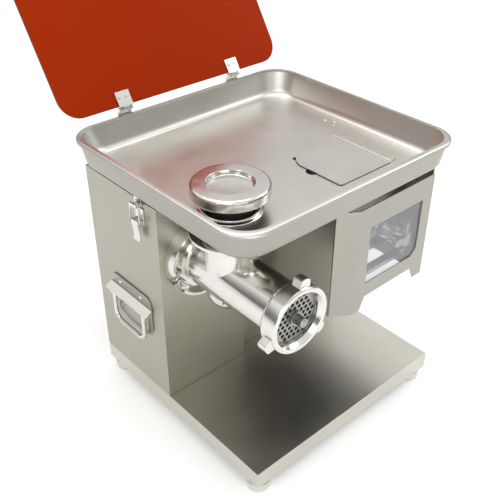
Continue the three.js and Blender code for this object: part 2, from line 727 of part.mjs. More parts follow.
// ---------------------------------------------------------------- drive inside the body
function addDrive() {
  const output = placed(headX, 0, axisZ);
  const shaft = join(
    rod(11, flangeBack - 2 + GAP, gearY - RUN - 1, 16),
    rod(9, gearY - RUN - 2, gearY + gearWidth + 24, 16));
  piece('output_shaft', alongY(shaft), brushed, output);
  const wheel = cut(
    join(plateOf(gearShape(gearTeeth, gearModule), gearY, gearY + gearWidth),
      rod(18, gearY, gearY + gearWidth + 6, 20)),
    rod(9 + GAP, gearY - 5, gearY + gearWidth + 9, 16));
  piece('drive_gear', alongY(wheel), castIron, output);

  const motor = placed(motorX, 0, motorZ);
  const meshTurn = -motorDirection + Math.PI;
  const pinion = join(
    plateOf(gearShape(pinionTeeth, gearModule, meshTurn), gearY, gearY + gearWidth),
    rod(8, gearY + gearWidth - 1, pulleyY, 16),
    rod(6, gearY - 7, gearY + 1, 16),
    rod(7, pulleyY - 1, motorFront + 8, 16));
  piece('motor_shaft', alongY(pinion), brushed, motor);
  const grooved = (radius, bore) => turned([
    [bore, 0], [radius - 1, 0], [radius, 1.5], [radius, pulleyWidth - 1.5], [radius - 1, pulleyWidth],
    [bore, pulleyWidth], [bore, 0],
  ], 24).translate(0, 0, pulleyY);
  piece('motor_pulley', alongY(grooved(motorPulley, 7 + GAP)), castIron, motor);
  const can = join(
    turned([
      [7 + RUN, motorFront], [motorRadius - 6, motorFront], [motorRadius, motorFront + 6],
      [motorRadius, motorBack - 6], [motorRadius - 6, motorBack], [0, motorBack], [0, motorFront + 9],
      [7 + RUN, motorFront + 9], [7 + RUN, motorFront],
    ], 24),
    box([-motorRadius, motorRadius], [motorRadius - 14, motorZ - baseTop - GAP],
      [motorFront + 14, motorBack - 14]),
  );
  piece('motor_body', alongY(can), castIron, motor);

  const casing = (offset) => {
    const shape = new THREE.Shape();
    const big = gearRadius + 5 + offset;
    const small = pinionRadius + 7 + offset;
    const tilt = Math.acos((big - small) / motorDistance);
    shape.absarc(0, 0, big, tilt, 2 * Math.PI - tilt);
    shape.absarc(motorDistance, 0, small, -tilt, tilt);
    return shape;
  };
  const wall = 5;
  const caseFront = leftFront + SHEET + GAP;
  const caseBack = gearY + gearWidth + 12;
  const housing = cut(
    plateOf(casing(wall), caseFront, caseBack, 6),
    plateOf(casing(0), gearY - 5, caseBack - wall, 6),
    rod(11 + RUN, caseFront - 5, gearY, 20),
    rod(9 + RUN, caseBack - 9, caseBack + 5, 20),
    rod(6 + RUN, gearY - 8.5, gearY, 16).translate(motorDistance, 0, 0),
    rod(8 + RUN, caseBack - 9, caseBack + 5, 16).translate(motorDistance, 0, 0),
  ).rotateZ(-motorDirection);
  piece('gearbox_housing', alongY(housing), castIron, output);

  const span = Math.hypot(bladeX - motorX, bladeZ - motorZ);
  const lean = Math.atan2(bladeZ - motorZ, bladeX - motorX);
  const loop = (offset) => {
    const shape = new THREE.Shape();
    const big = slicerPulley + offset;
    const small = motorPulley + offset;
    const tilt = Math.acos((small - big) / span);
    shape.absarc(0, 0, small, tilt, 2 * Math.PI - tilt);
    shape.absarc(span, 0, big, -tilt, tilt);
    return shape;
  };
  const belt = cut(
    plateOf(loop(GAP + 3), pulleyY + 2, pulleyY + pulleyWidth - 2, 8),
    plateOf(loop(GAP), pulleyY, pulleyY + pulleyWidth, 8)).rotateZ(-lean);
  piece('drive_belt', alongY(belt), blackRubber, motor);
}

// ---------------------------------------------------------------- slicer
function addSlicer() {
  const back = rightFront - GAP;
  const sideFront = slicerFront + doorReturn;
  const wallTop = trayBottom - GAP;
  const rightWall = [slicerRight - SHEET, slicerRight];
  const throatX = [flapLeft + 5, flapRight - 3];
  const throatY = [flapFront + 5, flapBack - 5];
  const throatLow = bladeZ + bladeRadius + 6;
  const shaftHoles = [0, bladeSpan].map((dx) =>
    moved(alongY(rod(9 + RUN, back - 10, back + 10)), bladeX + dx, 0, bladeZ));
  const cabinet = cut(
    join(
      box([slicerLeft, slicerLeft + SHEET], [sideFront + RUN, back], [slicerBottom, wallTop]),
      box(rightWall, [slicerFront + SHEET + RUN, back], [slicerBottom, wallTop]),
      box([slicerLeft, slicerRight], [back - SHEET, back], [slicerBottom, wallTop]),
      box([slicerLeft, slicerRight], [sillY, sillY + sillDepth], [sillZ - 8, sillZ]),
      box([slicerLeft, slicerRight], [throatY[0] - SHEET - 8, throatY[0] - 8], [bladeZ + 40, wallTop]),
    ),
    ...shaftHoles,
  );
  piece('slicer_box', cabinet, brushed);
  const throat = cut(
    box([throatX[0] - SHEET, throatX[1] + SHEET], [throatY[0] - SHEET + 1, throatY[1] + SHEET],
      [throatLow, wallTop]),
    box(throatX, [throatY[0] + 1, throatY[1]], [throatLow - 5, wallTop + 5]),
  );
  piece('feed_throat', throat, brushed);

  const journal = 7;
  const stud = 6;
  const bossFront = bearingY - bossLength;
  const plateLow = bladeZ - 44;
  const at = (geometry, x, z) => moved(alongY(geometry), x, 0, z);
  const plate = join(
    box([bladeX - 46, knobX + bossRadius + 3], [bearingY, bearingY + 5], [plateLow, bladeZ + 34]),
    at(rod(14, bearingY - 6, bearingY + 1, 16), bladeX, bladeZ),
    at(rod(14, bearingY - 6, bearingY + 1, 16), bladeX + bladeSpan, bladeZ),
    at(rod(bossRadius, bossFront, bearingY + 1, 20), knobX, knobZ),
    box([slicerLeft + SHEET + GAP, slicerRight - SHEET - GAP], [bearingY, bearingY + 3],
      [plateLow, plateLow + 14]),
  );
  const bearing = cut(plate,
    at(rod(journal + RUN, bearingY - 9, bearingY + 9), bladeX, bladeZ),
    at(rod(journal + RUN, bearingY - 9, bearingY + 9), bladeX + bladeSpan, bladeZ),
    at(rod(stud + RUN, bossFront - 5, bearingY + 9), knobX, knobZ));
  piece('bearing_plate', bearing, polished);

  const hub = 10;
  const shaft = 8;
  const gearFront = 42;
  for (const side of [0, 1]) {
    const shaftFront = bearingY - 2;
    const shaftEnd = side ? gearFront + 16 : pulleyY + pulleyWidth + 4;
    const profile = [[0, shaftFront], [journal, shaftFront], [journal, bearingY + 6], [hub, bearingY + 6]];
    for (let i = 0; i < bladeCount; i += 1) {
      const y = bearingY + 9 + (side / 2 + i) * bladePitch;
      profile.push([hub, y], [bladeRadius, y + 1.5], [hub, y + 3]);
    }
    profile.push([hub, bladeBackY + 20], [shaft, bladeBackY + 20], [shaft, shaftEnd], [0, shaftEnd]);
    const phase = side ? Math.PI / slicerTeeth : 0;
    const rotor = join(
      turned(profile, 12),
      plateOf(gearShape(slicerTeeth, slicerModule, phase), gearFront, gearFront + 10));
    piece(`blade_shaft_${side + 1}`, alongY(rotor), polished,
      placed(bladeX + side * bladeSpan, 0, bladeZ));
  }
  const pulley = turned([
    [shaft + GAP, 0], [slicerPulley - 1, 0], [slicerPulley, 1.5], [slicerPulley, pulleyWidth - 1.5],
    [slicerPulley - 1, pulleyWidth], [shaft + GAP, pulleyWidth], [shaft + GAP, 0],
  ], 24).translate(0, 0, pulleyY);
  piece('slicer_pulley', alongY(pulley), castIron, placed(bladeX, 0, bladeZ));

  const star = [];
  const arms = 4;
  for (let i = 0; i < 32; i += 1) {
    const turn = 2 * Math.PI * i / 32;
    const reach = 20 + 12 * Math.cos(arms * turn);
    star.push([reach * Math.cos(turn), reach * Math.sin(turn)]);
  }
  const knobBack = bossFront - GAP;
  piece('star_knob', alongY(join(
    plateOf(outline(star), knobBack - 12, knobBack - 4),
    rod(12, knobBack - 14, knobBack, 16),
    rod(stud, knobBack - 1, bearingY + 8, 12))), polished, placed(knobX, 0, knobZ));

  addDoor(sideFront);
}

// The door is a folded sheet: a front panel with a window and a slanted left side.
function addDoor(sideFront) {
  const left = slicerLeft + doorBevel;
  const right = slicerRight;
  const profile = outline([
    [right, slicerFront], [right, slicerFront + SHEET], [left + 0.9, slicerFront + SHEET],
    [slicerLeft + 1.2, sideFront], [slicerLeft, sideFront - 1.5], [left, slicerFront],
  ]);
  const legInner = [left + 18, right - 21];
  const slope = 10;
  const archZ = slicerBottom + 22;
  const arch = plateOf(outline([
    [legInner[0], slicerBottom - 5], [legInner[1], slicerBottom - 5], [legInner[1], slicerBottom],
    [legInner[1] - slope, archZ], [legInner[0] + slope, archZ], [legInner[0], slicerBottom],
  ]), -20, 20).rotateX(Math.PI / 2).translate(0, slicerFront, 0);
  const chamfer = 12;
  const windowOpening = plateOf(outline([
    [windowLeft, windowLow], [windowRight - chamfer, windowLow], [windowRight, windowLow + chamfer],
    [windowRight, windowHigh], [windowLeft, windowHigh],
  ]), -20, 20).rotateX(Math.PI / 2).translate(0, slicerFront, 0);
  const sheet = cut(plateOf(profile, slicerBottom, doorTop), arch, windowOpening);
  piece('slicer_door', sheet, brushed);
  const lap = 6;
  const back = slicerFront + SHEET + GAP;
  piece('door_window', box([windowLeft - lap, windowRight + lap], [back, back + 3],
    [windowLow - lap, windowHigh + lap]), clearSheet);
}

// ---------------------------------------------------------------- latches and handles on both sides
function onSide(side, y, z) {
  const group = placed(side * bodyHalf, y, z);
  if (side < 0) group.rotation.z = Math.PI; // local +X points out of the wall on both sides
  return group;
}

function addLatches() {
  let number = 1;
  for (const side of [-1, 1]) {
    const latch = onSide(side, latchY, latchZ);
    const pivotX = 5.5;
    const pivotZ = -6;
    const crankX = pivotX + 4;
    const earIn = 8.2;
    const earOut = 9.6;
    const loopIn = 9.9;
    const loopOut = 11.9;
    const across = (radius, half, sides) => rod(radius, -half, half, sides).rotateX(Math.PI / 2);
    const plate = join(
      box([GAP, 2], [-10, 10], [pivotZ - 6, 15]),
      box([1, pivotX + 1.6], [-earOut, -earIn], [pivotZ - 4, pivotZ + 1.9]),
      box([1, pivotX + 1.6], [earIn, earOut], [pivotZ - 4, pivotZ + 1.9]),
      across(1.3, earIn + 1, 8).translate(pivotX, 0, pivotZ),
    );
    piece(`latch_plate_${number}`, plate, polished, latch);
    const lever = plateOf(outline([
      [pivotX - 2.2, pivotZ + 2.2], [pivotX + 5.5, pivotZ + 2.9], [pivotX + 6.2, pivotZ - 4],
      [pivotX + 4.6, pivotZ - 12], [pivotX + 3.4, pivotZ - 24], [pivotX + 5.4, pivotZ - 31],
      [pivotX + 3.8, pivotZ - 32], [pivotX + 1.4, pivotZ - 24], [pivotX + 2.4, pivotZ - 12],
      [pivotX - 2.2, pivotZ - 4],
    ]), -7.8, 7.8).rotateX(Math.PI / 2);
    const leverHole = across(1.3 + GAP, 9, 8).translate(pivotX, 0, pivotZ);
    const crank = across(1.2, loopOut, 8).translate(crankX, 0, pivotZ);
    piece(`latch_lever_${number}`, join(cut(lever, leverHole), crank), polished, latch);
    const tabTop = 20.5;
    const eyelet = (y) => ring(2.4, 1.2 + GAP, y, y + loopOut - loopIn, 8).rotateX(Math.PI / 2)
      .translate(crankX, 2 * y + loopOut - loopIn, pivotZ);
    const loop = join(
      eyelet(-loopOut), eyelet(loopIn),
      box([crankX - 1, crankX + 1], [-loopOut, -loopIn], [pivotZ + 1.8, tabTop + GAP + 2]),
      box([crankX - 1, crankX + 1], [loopIn, loopOut], [pivotZ + 1.8, tabTop + GAP + 2]),
      box([crankX - 1, crankX + 1], [-loopOut, loopOut], [tabTop + GAP, tabTop + GAP + 2]),
    );
    piece(`latch_loop_${number}`, loop, polished, latch);
    const hookTop = trayBottom - latchZ - GAP;
    const lipX = crankX + 1 + GAP;
    const hook = join(
      box([-6, 3.5], [-8, 8], [hookTop - 1.5, hookTop]),
      box([2, 3.5], [-8, 8], [tabTop - 1.5, hookTop]),
      box([2, lipX + 1.4], [-8, 8], [tabTop - 1.5, tabTop]),
      box([lipX, lipX + 1.4], [-8, 8], [tabTop - 1.5, tabTop + 4]),
    );
    piece(`latch_catch_${number}`, hook, polished, latch);
    number += 1;
  }
}

function addHandles() {
  const half = handleWidth / 2;
  const pivotX = 9;
  const reach = gripWidth / 2;
  const stub = 6;
  const corner = 16;
  const at = (y, z) => new THREE.Vector3(pivotX, y, z);
  const path = new THREE.CurvePath();
  path.add(new THREE.LineCurve3(at(-reach, 0), at(-reach, corner - gripDrop)));
  path.add(new THREE.QuadraticBezierCurve3(
    at(-reach, corner - gripDrop), at(-reach, -gripDrop), at(corner - reach, -gripDrop)));
  path.add(new THREE.LineCurve3(at(corner - reach, -gripDrop), at(reach - corner, -gripDrop)));
  path.add(new THREE.QuadraticBezierCurve3(
    at(reach - corner, -gripDrop), at(reach, -gripDrop), at(reach, corner - gripDrop)));
  path.add(new THREE.LineCurve3(at(reach, corner - gripDrop), at(reach, 0)));
  const pivot = (from, to) => rod(gripRadius, from, to, 8).rotateX(Math.PI / 2).translate(pivotX, 0, 0);
  const cheek = ([from, to]) => box([SHEET, 12], [from, to], [-5, 7.5]);
  const cheekNear = reach + stub + GAP;
  let number = 1;
  for (const side of [-1, 1]) {
    const handle = onSide(side, handleY, handleZ);
    const plate = plateOf(roundedRect(handleWidth, 70, 14), GAP, 2.3, 3)
      .rotateX(Math.PI / 2).rotateZ(Math.PI / 2).translate(0, 0, -2);
    const channel = plateOf(outline([
      [1.5, 12], [3, 13.5], [15, 6.2], [15, 4.4], [13.6, 4.4], [13.6, 5.2], [2.3, 10.8], [1.5, 9],
    ]), -half - 2, half + 2).rotateX(Math.PI / 2);
    const screws = [[-28, 24], [28, 24], [-34, -24], [34, -24]].map(([y, z]) =>
      moved(alongX(rod(3.5, 2, 4, 8)), 0, y, z));
    const bracket = join(plate, channel, cheek([-cheekNear - SHEET, -cheekNear]),
      cheek([cheekNear, cheekNear + SHEET]), ...screws);
    piece(`handle_plate_${number}`, bracket, polished, handle);
    const grip = join(
      bent(path, gripRadius, 16, 6),
      pivot(-reach - stub, gripRadius - reach),
      pivot(reach - gripRadius, reach + stub));
    piece(`handle_grip_${number}`, grip, polished, handle);
    number += 1;
  }
}

// ---------------------------------------------------------------- push buttons on the right side
function addControls() {
  const panel = onSide(1, panelY, panelZ);
  const plate = cut(
    plateOf(roundedRect(60, 110, 8), GAP, 3, 2).rotateX(Math.PI / 2).rotateZ(Math.PI / 2),
    alongX(rod(buttonStem + 3, -3, 9, 12)).translate(0, 0, buttonSpread),
    alongX(rod(buttonStem + 3, -3, 9, 12)).translate(0, 0, -buttonSpread));
  piece('switch_plate', plate, polished, panel);
  const button = () => turned([
    [0, -3], [buttonStem, -3], [buttonStem, 3.8], [buttonStem + 2, 3.8], [buttonStem + 2, 9],
    [buttonStem + 0.5, 10.5], [0, 10.5],
  ], 12);
  piece('start_button', alongX(button()), greenButton, placed(0, 0, buttonSpread, panel));
  piece('stop_button', alongX(button()), redButton, placed(0, 0, -buttonSpread, panel));
}

addBase();
addBody();
addTray();
addLid();
addHead();
addDrive();
addSlicer();
addLatches();
addHandles();
addControls();

export default machine;
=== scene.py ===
import json
import math

import bmesh
import bpy
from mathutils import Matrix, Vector


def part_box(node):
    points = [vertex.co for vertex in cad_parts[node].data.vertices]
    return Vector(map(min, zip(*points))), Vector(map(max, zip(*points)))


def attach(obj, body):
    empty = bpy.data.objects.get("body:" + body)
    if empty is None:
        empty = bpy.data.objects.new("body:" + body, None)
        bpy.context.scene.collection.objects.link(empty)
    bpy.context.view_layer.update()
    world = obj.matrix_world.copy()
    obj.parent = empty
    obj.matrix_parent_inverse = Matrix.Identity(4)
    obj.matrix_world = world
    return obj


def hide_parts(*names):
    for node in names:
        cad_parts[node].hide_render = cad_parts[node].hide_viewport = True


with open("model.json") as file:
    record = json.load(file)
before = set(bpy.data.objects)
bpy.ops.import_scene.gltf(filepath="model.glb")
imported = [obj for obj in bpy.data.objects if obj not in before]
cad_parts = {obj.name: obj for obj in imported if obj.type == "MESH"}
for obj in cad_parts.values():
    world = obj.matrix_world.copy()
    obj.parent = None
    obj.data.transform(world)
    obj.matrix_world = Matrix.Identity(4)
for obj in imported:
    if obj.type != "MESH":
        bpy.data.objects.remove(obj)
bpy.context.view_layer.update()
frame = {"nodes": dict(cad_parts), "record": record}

# Bench-top meat grinder and slicer in stainless steel.
# Metres, +X right, +Y back, +Z up, origin on the floor.
MM = 0.001
BODIES = frame["record"]["behaviour"]["bodies"]
BODY_OF = {node: body for body, nodes in BODIES.items() for node in nodes}

# The machine's own measures, in millimetres from the middle of the underside of the base.
BASE_LOW, BASE_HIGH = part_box("base_plate")
BASE_ORIGIN = Vector((0, (BASE_LOW.y + BASE_HIGH.y) / 2, BASE_LOW.z))
HEAD_X = -130           # the grinding head's axis, left of the middle
HEAD_UP = 286           # and its height
THROAT_Y = -62          # where the feed chute and the neck stand
TRAY_UNDER = 394        # underside of the tray's floor
HINGE_Y, HINGE_UP = 213, 447
LID_LEAN = math.radians(33)     # the open lid, back from upright

# The slotted ears on the head's flange: half sizes in metres, distances from the axis in millimetres.
EAR = Vector((24, 3.6, 12)) * MM
EAR_SLOT = Vector((11, 8, 4.2)) * MM
EAR_REACH, SLOT_REACH, EAR_Y = 34, 59.3, -0.3
EAR_TILT = math.radians(24)

QUARTER = math.pi / 2
WELD = 1e-6             # corners nearer than this are one
FLOOR_SIZE = 80         # wide enough that its edge stays far off in low views


# ---------------------------------------------------------------- camera, light and floor
def aim_camera():
    camera = bpy.data.objects.new("camera", bpy.data.cameras.new("camera"))
    camera.location = (-0.68365, -0.83184, 0.9302)
    camera.rotation_euler = (math.radians(55.97), math.radians(-0.10), math.radians(-41.667))
    camera.data.lens = 53.37
    camera.data.sensor_width = 36.0
    bpy.context.scene.collection.objects.link(camera)
    bpy.context.scene.camera = camera


def hang_light(name, place, target, size, power):
    lamp = bpy.data.lights.new(name, "AREA")
    lamp.shape = "RECTANGLE"
    lamp.size, lamp.size_y = size
    lamp.energy = power
    holder = bpy.data.objects.new(name, lamp)
    holder.location = place
    holder.rotation_euler = (Vector(target) - Vector(place)).to_track_quat("-Z", "Y").to_euler()
    bpy.context.scene.collection.objects.link(holder)


def light_studio():
    middle = (0, 0, 0.3)
    hang_light("soft_left", (-1.9, -1.3, 1.9), middle, (1.6, 1.2), 13)
    hang_light("soft_right", (1.9, -1.0, 1.7), middle, (1.0, 1.6), 12)
    hang_light("soft_top", (0.2, 0.5, 2.6), middle, (1.8, 1.2), 22)
    hang_light("low_front", (-0.7, -2.3, 0.55), (0, 0, 0.2), (1.6, 0.8), 11)
    world = bpy.data.worlds.new("studio")
    bpy.context.scene.world = world
    world.use_nodes = True
    tree = Nodes(world.node_tree)
    sky = tree.node("ShaderNodeTexCoord").out("Generated")
    height = tree.node("ShaderNodeSeparateXYZ", Vector=sky).out("Z")
    shade = tree.ramp(height * 0.5 + 0.5, [
        (0.0, (0.60, 0.60, 0.60)), (0.49, (0.40, 0.40, 0.39)), (0.56, (0.16, 0.16, 0.155)),
        (0.66, (0.38, 0.38, 0.375)), (0.80, (1.10, 1.10, 1.08)), (1.0, (0.90, 0.90, 0.90)),
    ])
    background = tree.node("ShaderNodeBackground", Color=shade, Strength=1.0)
    tree.node("ShaderNodeOutputWorld", Surface=background.out("Background"))
    bpy.context.scene.view_settings.view_transform = "Standard"


def lay_floor():
    bpy.ops.object.select_all(action="DESELECT")
    bpy.ops.mesh.primitive_plane_add(size=FLOOR_SIZE, location=(0, 0, 0))
    floor = bpy.context.object
    floor.name = "floor"
    floor.data.materials.append(pale_floor())


# ---------------------------------------------------------------- shader nodes written as sums
class Value:
    """A number socket that adds its own Math nodes when it is used in a sum."""

    def __init__(self, tree, socket):
        self.tree = tree
        self.socket = socket

    def maths(self, operation, *values):
        return self.tree.node("ShaderNodeMath", {"operation": operation}, *values).out("Value")

    def __add__(self, other):
        return self.maths("ADD", self, other)

    def __sub__(self, other):
        return self.maths("SUBTRACT", self, other)

    def __rsub__(self, other):
        return self.maths("SUBTRACT", other, self)

    def __mul__(self, other):
        return self.maths("MULTIPLY", self, other)

    __radd__ = __add__
    __rmul__ = __mul__


class Made:
    """A node that has been made, with its outlets by name."""

    def __init__(self, tree, node):
        self.tree = tree
        self.node = node

    def out(self, name):
        return Value(self.tree, self.node.outputs[name])


class Nodes:
    """A node tree that is filled in one call for each node."""

    def __init__(self, tree):
        self.tree = tree
        tree.nodes.clear()

    def node(self, kind, settings=None, *values, **sockets):
        made = self.tree.nodes.new(kind)
        for name, setting in (settings or {}).items():
            if name == "stops":
                self.set_stops(made.color_ramp, setting)
            else:
                setattr(made, name, setting)
        named = {name.replace("_", " "): value for name, value in sockets.items()}
        for key, value in [*enumerate(values), *named.items()]:
            if isinstance(value, Value):
                self.tree.links.new(value.socket, made.inputs[key])
            else:
                made.inputs[key].default_value = value
        return Made(self, made)

    def set_stops(self, ramp, stops):
        while len(ramp.elements) < len(stops):
            ramp.elements.new(1.0)
        for element, (place, colour) in zip(ramp.elements, stops):
            element.position = place
            element.color = (*colour, 1.0)

    def ramp(self, value, stops):
        return self.node("ShaderNodeValToRGB", {"stops": stops}, Fac=value).out("Color")

    def blend(self, mask, first, second):
        mixed = self.node("ShaderNodeMix", {"data_type": "RGBA"}, mask)
        for index, colour in ((6, first), (7, second)):
            if isinstance(colour, Value):
                self.tree.links.new(colour.socket, mixed.node.inputs[index])
            else:
                mixed.node.inputs[index].default_value = (*colour, 1.0)
        return Value(self, mixed.node.outputs[2])

    def place(self, scale=(1, 1, 1)):
        where = self.node("ShaderNodeTexCoord").out("Object")
        return self.node("ShaderNodeMapping", Vector=where, Scale=scale).out("Vector")

    def noise(self, scale, stretch=(1, 1, 1), detail=3.0):
        where = self.place(stretch)
        return self.node("ShaderNodeTexNoise", Vector=where, Scale=scale, Detail=detail).out("Fac")

    def bump(self, height, strength, distance=0.4 * MM):
        made = self.node("ShaderNodeBump", Strength=strength, Distance=distance, Height=height)
        return made.out("Normal")


def new_material(name):
    material = bpy.data.materials.new(name)
    material.use_nodes = True
    return material, Nodes(material.node_tree)


def close_material(tree, **sockets):
    shader = tree.node("ShaderNodeBsdfPrincipled", None, **sockets)
    tree.node("ShaderNodeOutputMaterial", Surface=shader.out("BSDF"))


# ---------------------------------------------------------------- finishes
def brushed_steel(name, grain, tone, rough):
    """Satin sheet. grain stretches the brush lines: a small number lies along them."""
    material, tree = new_material(name)
    lines = tree.noise(1.0, grain, 2.0)
    cloud = tree.noise(7.0, detail=3.0)
    smudge = tree.noise(23.0, detail=4.0)
    dark = (tone[0] * 0.80, tone[1] * 0.78, tone[2] * 0.73)
    light = tuple(min(c * 1.10, 1.0) for c in tone)
    colour = tree.blend(lines * 0.35 + cloud * 0.45 + smudge * 0.2, dark, light)
    close_material(
        tree,
        Base_Color=colour,
        Metallic=1.0,
        Roughness=lines * 0.10 + cloud * 0.16 + smudge * 0.08 + (rough - 0.17),
        Normal=tree.bump(lines, 0.10),
    )
    return material


def polished_steel():
    """Hand-polished steel: bright, faintly wavy and with the wheel's fine haze."""
    material, tree = new_material("polished_steel")
    tone = (0.72, 0.705, 0.665)
    haze = tree.noise(60.0, detail=4.0)
    wavy = tree.noise(38.0, detail=1.0)
    fine = tree.noise(900.0, detail=2.0)
    dark = tuple(c * 0.9 for c in tone)
    close_material(
        tree,
        Base_Color=tree.blend(haze, dark, tone),
        Metallic=1.0,
        Roughness=haze * 0.10 + fine * 0.04 + 0.10,
        Normal=tree.bump(wavy, 0.35, 0.6 * MM),
    )
    return material


def machined_steel():
    """Turned and ground steel: dull, with fine tool rings and a little staining."""
    material, tree = new_material("machined_steel")
    tone = (0.42, 0.41, 0.40)
    rings = tree.noise(700.0, (1, 0.02, 1), 2.0)
    stain = tree.noise(70.0, detail=4.0)
    dark = tuple(c * 0.6 for c in tone)
    close_material(
        tree,
        Base_Color=tree.blend(stain, dark, tone),
        Metallic=1.0,
        Roughness=rings * 0.15 + stain * 0.12 + 0.20,
        Normal=tree.bump(rings, 0.2),
    )
    return material


def painted_casting():
    material, tree = new_material("painted_casting")
    grit = tree.noise(420.0, detail=4.0)
    cloud = tree.noise(14.0, detail=3.0)
    close_material(
        tree,
        Base_Color=tree.blend(cloud, (0.10, 0.105, 0.11), (0.17, 0.175, 0.18)),
        Roughness=grit * 0.15 + cloud * 0.10 + 0.38,
        Normal=tree.bump(grit, 0.35),
        Coat_Weight=0.15,
    )
    return material


def black_rubber():
    material, tree = new_material("black_rubber")
    grain = tree.noise(800.0, detail=3.0)
    dust = tree.noise(30.0, detail=4.0)
    close_material(
        tree,
        Base_Color=tree.blend(dust, (0.012, 0.012, 0.012), (0.045, 0.043, 0.040)),
        Roughness=grain * 0.15 + dust * 0.15 + 0.55,
        Normal=tree.bump(grain, 0.25),
    )
    return material


def orange_sheet():
    """Deep orange-red plastic sheet, faintly cloudy, rippled and scuffed."""
    material, tree = new_material("orange_sheet")
    cloud = tree.noise(3.0, detail=1.0)
    ripple = tree.noise(16.0, detail=1.0)
    scuff = tree.noise(240.0, (1, 0.15, 1), 3.0)
    close_material(
        tree,
        Base_Color=tree.blend(cloud, (0.27, 0.018, 0.0003), (0.31, 0.022, 0.0004)),
        Roughness=scuff * 0.08 + 0.34,
        Normal=tree.bump(ripple, 0.05, 1.0 * MM),
        Specular_IOR_Level=0.04,
        IOR=1.49,
    )
    return material


def sheet_edge():
    material, tree = new_material("sheet_edge")
    saw = tree.noise(900.0, (1, 1, 0.1), 2.0)
    close_material(
        tree,
        Base_Color=tree.blend(saw, (0.07, 0.006, 0.002), (0.13, 0.012, 0.003)),
        Roughness=saw * 0.2 + 0.35,
    )
    return material


def clear_sheet():
    material, tree = new_material("clear_sheet")
    haze = tree.noise(26.0, detail=3.0)
    close_material(
        tree,
        Base_Color=tree.blend(haze, (0.36, 0.37, 0.40), (0.44, 0.45, 0.47)),
        Roughness=haze * 0.08 + 0.03,
        Alpha=haze * 0.12 + 0.26,
        IOR=1.49,
    )
    return material


def moulded_plastic(name, tone):
    material, tree = new_material(name)
    grain = tree.noise(600.0, detail=3.0)
    dark = tuple(c * 0.8 for c in tone)
    close_material(
        tree,
        Base_Color=tree.blend(grain, dark, tone),
        Roughness=grain * 0.12 + 0.28,
        Normal=tree.bump(grain, 0.1),
        Coat_Weight=0.2,
    )
    return material


def pale_floor():
    material, tree = new_material("pale_floor")
    cloud = tree.noise(1.5, detail=2.0)
    close_material(
        tree,
        Base_Color=tree.blend(cloud, (0.90, 0.90, 0.90), (0.93, 0.93, 0.93)),
        Roughness=0.9,
        Emission_Color=(1.0, 1.0, 1.0, 1.0),
        Emission_Strength=0.15,
    )
    return material


# ---------------------------------------------------------------- modelling by hand
def only(obj):
    """Makes obj the one selected and active object."""
    bpy.ops.object.select_all(action="DESELECT")
    obj.select_set(True)
    bpy.context.view_layer.objects.active = obj


def settle(obj, name):
    """Puts obj's place, turn and size into its mesh."""
    only(obj)
    bpy.ops.object.transform_apply(location=True, rotation=True, scale=True)
    obj.name = name
    obj.data.name = name
    return obj


def pick_faces(obj, test):
    """Selects the faces of a mesh in edit mode whose middle passes the test."""
    bpy.ops.mesh.select_mode(type="FACE")
    bpy.ops.mesh.select_all(action="DESELECT")
    mesh = bmesh.from_edit_mesh(obj.data)
    for face in mesh.faces:
        face.select_set(test(face.calc_center_median()))
    mesh.select_flush_mode()
    bmesh.update_edit_mesh(obj.data)


def modify(obj, kind, **settings):
    """Adds a modifier and applies it."""
    only(obj)
    modifier = obj.modifiers.new(kind.lower(), kind)
    for name, value in settings.items():
        setattr(modifier, name, value)
    bpy.ops.object.modifier_apply(modifier=modifier.name)
    return obj


def soften(obj, width, segments=3, angle=32):
    """Rounds the sharp edges and shades the rest smooth."""
    if width:
        modify(obj, "BEVEL", width=width, segments=segments, limit_method="ANGLE",
               angle_limit=math.radians(angle), miter_outer="MITER_ARC")
    only(obj)
    bpy.ops.object.shade_smooth_by_angle(angle=math.radians(angle))
    return modify(obj, "WEIGHTED_NORMAL", keep_sharp=True)


def combine(obj, tool, operation):
    """Cuts or fuses a tool with a piece and takes the tool away."""
    modify(obj, "BOOLEAN", object=tool, operation=operation, solver="EXACT")
    bpy.data.objects.remove(tool)
    return obj


def cut(obj, *tools):
    for tool in tools:
        combine(obj, tool, "DIFFERENCE")
    return obj


def fuse(obj, *others):
    for other in others:
        combine(obj, other, "UNION")
    return obj


def gather(obj, *others):
    """Joins loose pieces, such as a set of drills, into one object."""
    bpy.ops.object.select_all(action="DESELECT")
    for other in (obj, *others):
        other.select_set(True)
    bpy.context.view_layer.objects.active = obj
    bpy.ops.object.join()
    return obj


def bell(radius, reach, height, rise, steps=8):
    """Profile corners that open outwards by reach while they climb by rise."""
    turns = [QUARTER * i / steps for i in range(steps + 1)]
    return [(radius + reach * (1 - math.cos(t)), height + rise * math.sin(t)) for t in turns]


def block(name, low, high):
    """A box between two corners."""
    middle = (Vector(low) + Vector(high)) / 2
    size = Vector(high) - Vector(low)
    bpy.ops.object.select_all(action="DESELECT")
    bpy.ops.mesh.primitive_cube_add(size=1, location=middle, scale=size)
    return settle(bpy.context.object, name)


def raise_face(stations):
    """Extrudes the selected face through stations of (x scale, y scale, height)."""
    for before, after in zip(stations, stations[1:]):
        rise = {"value": (0, 0, after[2] - before[2])}
        bpy.ops.mesh.extrude_region_move(TRANSFORM_OT_translate=rise)
        growth = (after[0] / before[0], after[1] / before[1], 1)
        bpy.ops.transform.resize(value=growth, center_override=(0, 0, after[2]))


def close_shell():
    """Welds the corners that meet and turns every face outwards."""
    bpy.ops.mesh.select_all(action="SELECT")
    bpy.ops.mesh.remove_doubles(threshold=WELD)
    bpy.ops.mesh.normals_make_consistent(inside=False)
    bpy.ops.object.mode_set(mode="OBJECT")


